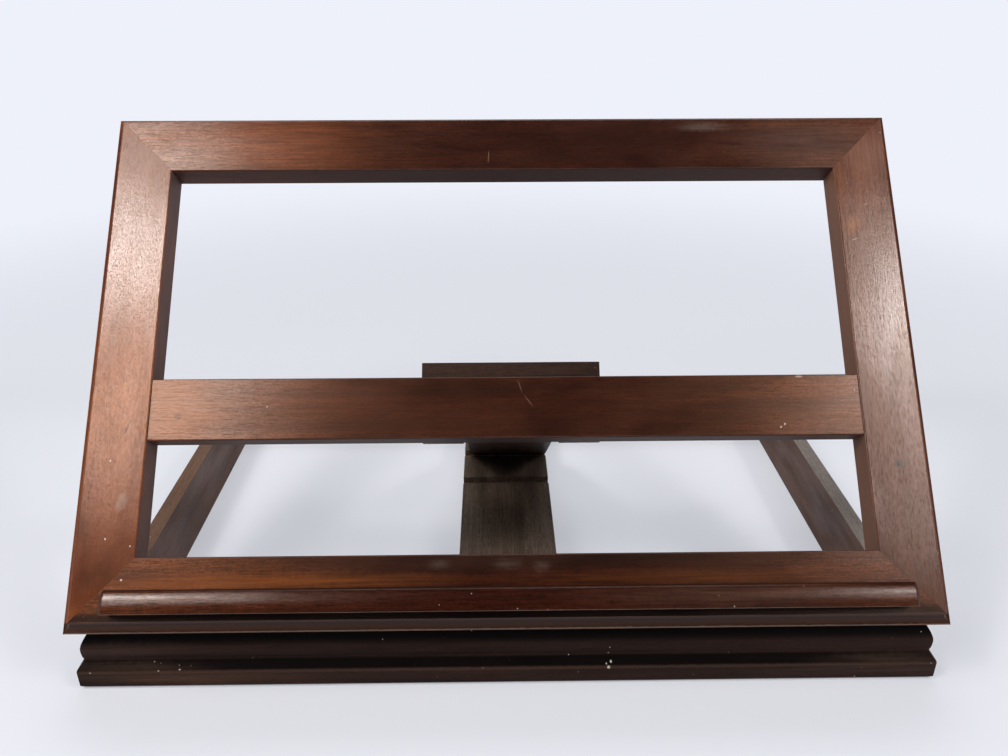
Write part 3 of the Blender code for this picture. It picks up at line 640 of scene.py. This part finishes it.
def slotted_screw(node, body, drive, turn):
    """A countersunk wood screw with a slot across its head, at some turn, in the plain screw's place."""
    side = Vector(X_AXIS)
    axes = Matrix((side, drive.cross(side), drive))
    corners = [axes @ v.co for v in frame["nodes"][node].data.vertices]
    low = Vector([min(c[i] for c in corners) for i in range(3)])
    high = Vector([max(c[i] for c in corners) for i in range(3)])
    radius, length = (high.x - low.x) / 2, high.z - low.z
    top = Vector(((low.x + high.x) / 2, (low.y + high.y) / 2, low.z))
    shank = SHANK * radius
    point = shank / SHANK_TO_POINT
    profile = [(radius, 0), (shank, radius - shank), (shank, length - shank), (point, length)]

    build = bmesh.new()
    turns = [2 * math.pi * i / SCREW_SIDES for i in range(SCREW_SIDES)]
    rings = []
    for reach, deep in profile:
        rings.append([build.verts.new((reach * math.cos(a), reach * math.sin(a), deep)) for a in turns])
    skin(build, rings)
    build.faces.new(rings[-1])

    half = SLOT_WIDTH * radius / 2
    cuts = []
    for reach, deep in ((SLOT_TOP * radius, 0), (SLOT_FLOOR * radius, SLOT_DEPTH * radius)):
        places = [Vector((x * reach, y * half, deep)) for x, y in ((-1, -1), (1, -1), (1, 1), (-1, 1))]
        cuts.append([build.verts.new(Matrix.Rotation(turn, 3, "Z") @ place) for place in places])
    skin(build, cuts)
    build.faces.new(cuts[1])
    rims = []
    for ring in (rings[0], cuts[0]):
        rims += [build.edges.get((ring[i - 1], ring[i])) for i in range(len(ring))]
    bmesh.ops.triangle_fill(build, edges=rims, use_beauty=True)
    bmesh.ops.recalc_face_normals(build, faces=build.faces)
    bmesh.ops.transform(build, matrix=Matrix.Translation(top), verts=build.verts)
    bmesh.ops.transform(build, matrix=axes.transposed().to_4x4(), verts=build.verts)

    screw = new_piece("slotted_" + node, build)
    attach(screw, body)
    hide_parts(node)
    return screw


def dress(thing, material):
    """Gives a piece its material."""
    if not thing.material_slots:
        thing.data.materials.append(None)
    thing.material_slots[0].material = material


# The desk's boards

# Where a mitred board's middle lies, and how far from it its ends begin
CROSS_MITRES = {"Middle": (0.0, 0.0, 0.0), "Reach": 212.5 * MM}
UPRIGHT_MITRES = {"Middle": DESK_CORNER + Vector(UP_DESK) * 163.5 * MM, "Reach": 121 * MM}
UNMITRED = ("book_lip", "desk_middle_rail")
DESK_ARRIS = 0.5 * MM
# Each board is cut from another place in the grain
NEXT_DESK_BOARD = (0.37, 0.083, 0.029)

# Marks of use on each board, in millimetres and degrees: middle across and up the desk, length, width,
# lean, height above the desk's back, colour, strength
FACE = 18.5
LIP_FACE = 30
LOWER_ARRIS = 9
PAINT = "#d9d2c6"
NICK = "#c0b1a4"
SCRATCH = "#7d5c4c"
BLOOM = "#6f6058"
DARK_SPOT = "#2e150c"
JOINT_LINE = "#120806"
DIRT_AND_LIP_SHADOW = "#040202"
DESK_MARKS = {
    "desk_left_stile": [
        # Broad tones: grey bloom above, bare orange wood in the middle, darker below
        (-228, 262, 150, 160, 0, FACE, "#6b554b", 0.6),
        (-236, 304, 64, 60, 0, FACE, "#8a7468", 0.35),
        (-230, 140, 130, 135, 0, FACE, "#c07642", 0.55),
        (-222, 25, 150, 160, 0, FACE, "#552a16", 0.75),
        # Mottling of the lower corner, a smear and a dent
        (-236, 32, 30, 18, 25, FACE, DARK_SPOT, 0.5),
        (-230, 13, 34, 12, 0, FACE, "#2a130b", 0.5),
        (-245, 60, 11, 34, 10, FACE, "#36190e", 0.4),
        (-224, 74, 15, 8, 70, FACE, "#a08a7c", 0.32),
        (-225, 117, 11, 1.6, 72, FACE, "#2a1510", 0.7),
        # Specks of paint
        (-233, 97.7, 1.2, 1.2, 0, FACE, PAINT, 0.8),
        (-231.3, 52.6, 1.2, 1.4, 0, FACE, PAINT, 0.8),
        (-216.6, 48.5, 1.2, 1.1, 0, FACE, PAINT, 0.8),
    ],
    "desk_top_rail": [
        # Broad tones: dark middle, redder left, grey right
        (90, 303, 330, 90, 0, FACE, "#2a1511", 0.6),
        (-140, 306, 170, 80, 0, FACE, "#935030", 0.4),
        (195, 303, 130, 60, 0, FACE, "#564540", 0.7),
        # Bloom, dents and a scratch
        (131, 315, 50, 10, 0, FACE, "#8f8078", 0.35),
        (145, 303, 34, 3, -5, FACE, "#1f100c", 0.7),
        (-235, 311.5, 10, 1.4, 0, FACE, "#160b08", 0.8),
        (-10, 294, 11, 0.9, 86, FACE, "#8c6a58", 0.6),
    ],
    "desk_right_stile": [
        # Broad tones: greyed all along, darker below, greyest at the top, with a bare patch
        (236, 150, 200, 420, 0, FACE, "#5c3d33", 0.5),
        (235, 10, 200, 220, 0, FACE, "#33251f", 0.8),
        (236, 300, 74, 64, 0, FACE, "#8a6c62", 0.5),
        (221, 245, 20, 14, 60, FACE, "#a2602e", 0.6),
        # Nicks and a knot
        (221, 235, 6, 0.8, 20, FACE, NICK, 0.6),
        (232, 92, 8, 7, 0, FACE, "#1f150e", 0.95),
        (231.2, 259.2, 2.6, 0.9, 0, FACE, NICK, 0.7),
        (248, 41, 5, 1.2, 60, FACE, "#b9a79a", 0.6),
    ],
    "desk_middle_rail": [
        # A paler left end, the joints with the stiles, and a redder part
        (-200, 128, 90, 60, 0, FACE, "#b87850", 0.5),
        (-212.4, 124, 52, 1.5, 90, FACE, JOINT_LINE, 0.85),
        (212.4, 126, 52, 1.3, 90, FACE, JOINT_LINE, 0.7),
        (-90, 128, 170, 60, 0, FACE, "#40160a", 0.4),
        # Dents, two scratches, and chips of paint
        (-196, 124, 6, 5, 0, FACE, "#2d1812", 0.7),
        (-73, 124, 24, 1.5, 25, FACE, "#220f0a", 0.8),
        (13, 132, 12, 0.9, -54, FACE, SCRATCH, 0.55),
        (8, 141, 11, 0.9, -72, FACE, SCRATCH, 0.55),
        (177, 145.6, 6, 1.8, 0, FACE, "#b49a88", 0.7),
        (163.4, 114.6, 1.9, 1.2, 40, FACE, SPECK_COLOUR, 0.7),
        (166, 116.4, 1.9, 1.2, 60, FACE, SPECK_COLOUR, 0.7),
    ],
    "desk_bottom_rail": [
        # A dark upper edge, and orange wood where books have rubbed above the lip
        (10, 41, 560, 24, 0, FACE, "#211511", 0.95),
        (-150, 28, 330, 14, 0, FACE, "#8c4c1a", 0.8),
        (110, 28, 300, 14, 0, FACE, "#743f19", 0.5),
        (-214, 33, 44, 14, 12, FACE, DARK_SPOT, 0.45),
        # Bloom, and specks of paint
        (-40, 36.7, 19, 9.5, 0, FACE, BLOOM, 0.35),
        (-1, 36.3, 24, 9.5, 0, FACE, BLOOM, 0.3),
        (19, 35.1, 15, 9.5, 0, FACE, BLOOM, 0.35),
        (-219.8, 29.6, 1.7, 1.7, 0, FACE, "#e0d8cc", 1),
        (-239, 9.6, 1.2, 1.1, 0, FACE, PAINT, 0.8),
        # Dirt and the lip's painted shadow under the lip, and the lower arris worn pale with a painted
        # highlight
        (1, 9.2, 900, 8.9, 0, FACE, DIRT_AND_LIP_SHADOW, 1),
        (1, 7.6, 900, 8.9, 0, FACE, DIRT_AND_LIP_SHADOW, 1),
        (1, 0.3, 900, 1.5, 0, LOWER_ARRIS, "#b8a294", 0.38),
    ],
    "book_lip": [(115, 17, 220, 20, 0, LIP_FACE, "#5c4032", 0.55)],
}

# Tones of each board: how far it is rubbed, how much ribbon its figure has, the colours of its worn arrises
# and its edges, the strength of its fibres' sheen, its film and its dark grain, and the sizes of its grain
RUBBED_FRAME = {
    "rubbed": 1, "ribbon": 0.65, "arris": "#93674f", "edge": "#2c2729", "sheen": 0.4, "film": 1.15,
    "flecks": 1.15, "specks": FEW_SPECKS, "pores": LONG_PORES, "streaks": LONG_STREAKS}
RED_MIDDLE = {**RUBBED_FRAME, "sheen": 0.5, "film": 0.98}
GREY_LIP = {
    **RUBBED_FRAME, "rubbed": 0.45, "ribbon": 0.8, "arris": "#a3917f", "edge": "#24130d", "sheen": 0.1,
    "film": 0.8, "flecks": 1.1, "specks": MANY_SPECKS}
# The left stile's grey edge colour is a painted reflection of the pale floor and walls
FLECKED_STILE = {
    **RUBBED_FRAME, "ribbon": 0.2, "edge": "#565052", "sheen": 0.22, "film": 0.88, "flecks": 0.45,
    "pores": SHORT_PORES, "streaks": SHORT_STREAKS}
STREAKED_STILE = {
    **RUBBED_FRAME, "ribbon": 0.4, "edge": "#7d5f50", "sheen": 0.22, "film": 1.18, "flecks": 0.58,
    "pores": UPRIGHT_PORES}
DESK_TONES = {
    "desk_left_stile": FLECKED_STILE, "desk_top_rail": RUBBED_FRAME, "desk_right_stile": STREAKED_STILE,
    "desk_middle_rail": RED_MIDDLE, "desk_bottom_rail": RUBBED_FRAME, "book_lip": GREY_LIP}

for seed, (board, marks) in enumerate(DESK_MARKS.items()):
    upright = board.endswith("stile")
    axis = UP_DESK if upright else X_AXIS
    shift = Vector([step * seed for step in NEXT_DESK_BOARD])
    thing = crowned_lip() if board == "book_lip" else frame["nodes"][board]
    material_name = "french_polished_mahogany_" + board
    dress(thing, polished_mahogany(material_name, upright, shift, axis, DESK_TONES[board], marks))
    if board in UNMITRED:
        ease(thing, axis, ALL_EDGES, DESK_ARRIS)
    else:
        mitres = UPRIGHT_MITRES if upright else CROSS_MITRES
        add_board_nodes(thing, "glue", MITRES, {"Along": axis, **mitres})
        ease(thing, axis, LENGTHWISE, DESK_ARRIS)


# The stained boards of the base, and those behind the desk

# Tones of each board: the dark and light of its stain, its worn arrises, the strength of its dark grain,
# the colour and amount of dust on it, which on the front rail is painted shade, the slopes that this lies
# on, and its shine
BLACKENED = {
    "dark": "#1a0f0a", "light": "#2b1b14", "arris": "#6d5040", "flecks": 0.8, "dust_and_shade": "#6f5242",
    "dust_and_shade_share": 0.45, "dust_and_shade_slopes": (0.6, 0.95), "shine": 0.2, "specks": MANY_SPECKS}
# On the front rail the near-black colour on upward slopes, in the valley and close under the desk, is
# painted shade
UNDER_DESK = {
    **BLACKENED, "dark": "#231612", "light": "#38261f", "flecks": 0.5, "dust_and_shade": "#020101", "dust_and_shade_share": 0.97,
    "dust_and_shade_slopes": (0.2, 0.55), "shine": 0.07}
RUBBED = {**BLACKENED, "arris": "#8a6b56", "flecks": 0.5, "dust_and_shade": "#846450", "dust_and_shade_share": 0.8}
DUSTY = {**BLACKENED, "arris": "#8a7b69", "flecks": 0.5, "dust_and_shade": "#928983", "dust_and_shade_share": 0.85}
FIGURED = {**BLACKENED, "dark": "#2a1912", "light": "#4b3224", "dust_and_shade_share": 0.15}
GREYED = {
    **BLACKENED, "dark": "#4a3b32", "light": "#6a594c", "arris": "#807062", "dust_and_shade": "#8a7f72",
    "dust_and_shade_share": 0.15}

# Marks on the base's front, in millimetres and degrees: middle across, height, length, width, lean,
# distance forward, colour, strength
# A pale line along the ridge, worn and partly a painted highlight, and paler patches towards both ends,
# which lift the valley's painted shade there
PALER_RIDGE_AND_ENDS = [
    (0, 12.4, 1400, 3, 0, 158.6, "#5b4336", 0.35),
    (-190, 8, 200, 14, 0, 158.6, "#644a39", 0.55),
    (215, 8, 180, 14, 0, 158.6, "#55413a", 0.45),
    (-225, 27, 130, 14, 0, 155, "#58443a", 0.4),
    (-222, 15, 130, 12, 0, 157, "#4a382e", 0.6),
    (228, 15, 130, 12, 0, 157, "#4a382e", 0.7),
]
DULL_PAINT = "#cfc7ba"
PAINT_SPLASH = [
    (59, 12.5, 2.4, 2.8, 20, 158, PAINT, 1),
    (60.2, 15.5, 1.6, 1.8, 0, 158, PAINT, 1),
    (57.6, 14.6, 1.1, 1.3, 0, 158, PAINT, 0.9),
    (58.8, 20, 1.2, 1.6, 0, 157, DULL_PAINT, 0.9),
    (59.4, 24.5, 1.0, 1.5, 0, 158, DULL_PAINT, 0.9),
    (-206, 13.4, 1.2, 1, 0, 158, PAINT, 0.8),
    (-193.5, 14, 1.7, 0.9, 0, 158, PAINT, 0.8),
    (-246, 12.4, 1.3, 1.1, 0, 158, PAINT, 0.8),
]

# Each board: how its grain lies, its length, which of its arrises are rounded, its tones and its marks
SIDEWAYS = (0, 0, 0)
FRONT_TO_BACK = (0, 0, -QUARTER)
UP_THE_STRUT = (STRUT_LEAN, 0, -QUARTER)
STAINED_BOARDS = {
    "base_front_rail": (SIDEWAYS, X_AXIS, LENGTHWISE, UNDER_DESK, PALER_RIDGE_AND_ENDS + PAINT_SPLASH),
    "base_rear_rail": (SIDEWAYS, X_AXIS, LENGTHWISE, BLACKENED, []),
    "base_left_rail": (FRONT_TO_BACK, Y_AXIS, LENGTHWISE, RUBBED, []),
    "base_right_rail": (FRONT_TO_BACK, Y_AXIS, LENGTHWISE, DUSTY, []),
    "ratchet_bar": (FRONT_TO_BACK, Y_AXIS, ALL_EDGES, GREYED, []),
    "hinge_block": (TO_DESK, X_AXIS, ALL_EDGES, FIGURED, []),
    "strut": (UP_THE_STRUT, ALONG_STRUT, ALL_EDGES, FIGURED, []),
}
INTO_BASE = {
    "base_front_rail": Y_AXIS, "base_rear_rail": (0.0, -1.0, 0.0),
    "base_left_rail": X_AXIS, "base_right_rail": (-1.0, 0.0, 0.0)}
NO_INSIDE = (0.0, 0.0, 0.0)
BASE_ARRIS = 1.2 * MM
PROP_ARRIS = 0.4 * MM
NEXT_STAINED_BOARD = (0.41, 0.071, 0.037)

for seed, (board, (lie, axis, match, tones, marks)) in enumerate(STAINED_BOARDS.items()):
    shift = Vector([step * seed for step in NEXT_STAINED_BOARD])
    thing = frame["nodes"][board]
    inward = INTO_BASE.get(board, NO_INSIDE)
    dress(thing, stained_mahogany("age_stained_mahogany_" + board, lie, shift, axis, inward, tones, marks))
    ease(thing, axis, match, BASE_ARRIS if board in INTO_BASE else PROP_ARRIS)


# Hinges, screws, washers and rod, tongues and dowels

SMALL_PIECES = {"brass": tarnished_brass(), "steel": dull_steel(), "beech": bare_beech()}
UNROUNDED = 0
for seed, subpart in enumerate(frame["record"]["subparts"]):
    node, slot = subpart["node"], subpart["material_slot"]
    if slot in SMALL_PIECES:
        in_base = node.startswith("hinge_base_leaf")
        drive = Vector((0, 0, -1)) if in_base else Vector(OUT_OF_DESK)
        thing = frame["nodes"][node]
        if "screw" in node:
            thing = slotted_screw(node, "base" if in_base else "desk", drive, SLOT_TURN * seed)
        dress(thing, SMALL_PIECES[slot])
        ease(thing, X_AXIS, ALL_EDGES, UNROUNDED)


# The table, the studio and the camera

PALE = "#eef1fa"
TABLE_REACH = 30
TABLE_ROUGHNESS = 0.9
TABLE_SHINE = 0.1
# Between these distances from the stand, in metres, the table turns to plain backdrop, from this share up
BACKDROP_FROM, BACKDROP_TO = 0.35, 1.3
BACKDROP_LEAST = 0.4
# Heights of a ray between which the walls turn to ceiling, and the light that both give
CEILING_FROM, CEILING_TO = 0.1, 0.5
WALL_LIGHT = "#8d9097"
CEILING_LIGHT = "#34353a"


def shown(tree):
    """1 for rays from the camera, a mirror or glass, which see the backdrop, and 0 for others."""
    path = put(tree, "ShaderNodeLightPath").outputs
    seen = put(tree, "ShaderNodeMath", {
        0: path["Is Camera Ray"], 1: path["Is Glossy Ray"]}, operation="ADD").outputs[0]
    return put(tree, "ShaderNodeMath", {
        0: seen, 1: path["Is Transmission Ray"]}, operation="ADD", use_clamp=True).outputs[0]


# Matt white laminate: it takes the stand's soft shadow, and far from the stand it shows as plain backdrop
def pale_table():
    material, tree, shader = fresh("pale_table")
    shader.inputs["Base Color"].default_value = linear(PALE)
    shader.inputs["Roughness"].default_value = TABLE_ROUGHNESS
    shader.inputs["Specular IOR Level"].default_value = TABLE_SHINE
    place = put(tree, "ShaderNodeTexCoord").outputs["Object"]
    away = put(tree, "ShaderNodeVectorMath", {0: place}, operation="LENGTH").outputs[1]
    far = put(tree, "ShaderNodeMapRange", {
        "Value": away, "From Min": BACKDROP_FROM, "From Max": BACKDROP_TO, "To Min": BACKDROP_LEAST},
        interpolation_type="SMOOTHSTEP").outputs[0]
    share = put(tree, "ShaderNodeMath", {
        0: far, 1: shown(tree)}, operation="MULTIPLY", use_clamp=True).outputs[0]
    backdrop = put(tree, "ShaderNodeEmission", {"Color": linear(PALE), "Strength": 1}).outputs[0]
    surface = put(tree, "ShaderNodeMixShader", {0: share, 1: shader.outputs[0], 2: backdrop}).outputs[0]
    tree.links.new(surface, tree.nodes["Material Output"].inputs["Surface"])
    mesh = bpy.data.meshes.new("table")
    corners = [(x * TABLE_REACH, y * TABLE_REACH, 0) for x, y in ((-1, -1), (1, -1), (1, 1), (-1, 1))]
    mesh.from_pydata(corners, [], [(0, 1, 2, 3)])
    mesh.materials.append(material)
    table = bpy.data.objects.new("table", mesh)
    bpy.context.scene.collection.objects.link(table)


def studio():
    """Pale walls near the horizon under a dim ceiling, so that the polish mirrors only the soft boxes."""
    world = bpy.data.worlds.new("studio")
    world.use_nodes = True
    tree = world.node_tree
    ray = put(tree, "ShaderNodeTexCoord").outputs["Generated"]
    height = put(tree, "ShaderNodeSeparateXYZ", {0: ray}).outputs["Z"]
    ceiling = put(tree, "ShaderNodeMapRange", {
        "Value": height, "From Min": CEILING_FROM, "From Max": CEILING_TO},
        interpolation_type="SMOOTHSTEP").outputs[0]
    walls = put(tree, "ShaderNodeMix", {
        0: shown(tree), 6: linear(WALL_LIGHT), 7: linear(PALE)}, data_type="RGBA").outputs[2]
    colour = put(tree, "ShaderNodeMix", {
        0: ceiling, 6: walls, 7: linear(CEILING_LIGHT)}, data_type="RGBA").outputs[2]
    tree.links.new(colour, tree.nodes["Background"].inputs["Color"])
    bpy.context.scene.world = world


# Each lamp: its place and its size in metres, its turn in degrees, its watts and its colour
WARM_WHITE, WHITE = "#fffaf5", "#ffffff"
SOFT_BOXES = {
    "left_soft_box": ((-0.70, -0.64, 1.13), (0.46, 0.8), (0, -38, -3), 8.6, WARM_WHITE),
    "left_lamp": ((-0.70, -0.53, 1.19), (0.14, 0.16), (18, -28, 0), 2.8, WARM_WHITE),
    "right_soft_box": ((0.87, -0.78, 1.06), (0.42, 0.85), (0, 38, 12), 5.6, WARM_WHITE),
    "right_lamp": ((0.83, -0.60, 1.12), (0.11, 0.22), (18, 32, 0), 2.6, WARM_WHITE),
    "rear_soft_box": ((0, 0.75, 1.5), (1.6, 0.9), (-25, 0, 0), 11, WHITE),
}


def soft_box(name, at, size, turn, watts, hue):
    """One lamp of the studio."""
    lamp = bpy.data.lights.new(name, "AREA")
    lamp.shape = "RECTANGLE"
    lamp.size, lamp.size_y = size
    lamp.energy = watts
    lamp.color = linear(hue)[:3]
    thing = bpy.data.objects.new(name, lamp)
    thing.location = at
    thing.rotation_euler = [math.radians(angle) for angle in turn]
    bpy.context.scene.collection.objects.link(thing)


def photo_camera():
    """The camera where the photograph was taken."""
    forward = Vector((
        math.sin(CAMERA_ASIDE) * math.cos(CAMERA_DOWN),
        math.cos(CAMERA_ASIDE) * math.cos(CAMERA_DOWN),
        -math.sin(CAMERA_DOWN)))
    level = Vector((math.cos(CAMERA_ASIDE), -math.sin(CAMERA_ASIDE), 0))
    above = level.cross(forward)
    right = level * math.cos(CAMERA_ROLL) + above * math.sin(CAMERA_ROLL)
    up = above * math.cos(CAMERA_ROLL) - level * math.sin(CAMERA_ROLL)
    lens = bpy.data.cameras.new("photo_camera")
    lens.sensor_width = SENSOR_WIDTH
    lens.lens = FOCAL_PIXELS / PHOTO_WIDTH * SENSOR_WIDTH
    camera = bpy.data.objects.new("photo_camera", lens)
    turn = Matrix((right, up, -forward)).transposed().to_4x4()
    camera.matrix_world = Matrix.Translation(CAMERA_AT) @ turn
    bpy.context.scene.collection.objects.link(camera)
    bpy.context.scene.camera = camera


pale_table()
studio()
for name, lamp in SOFT_BOXES.items():
    soft_box(name, *lamp)
photo_camera()
bpy.context.scene.view_settings.view_transform = "Standard"
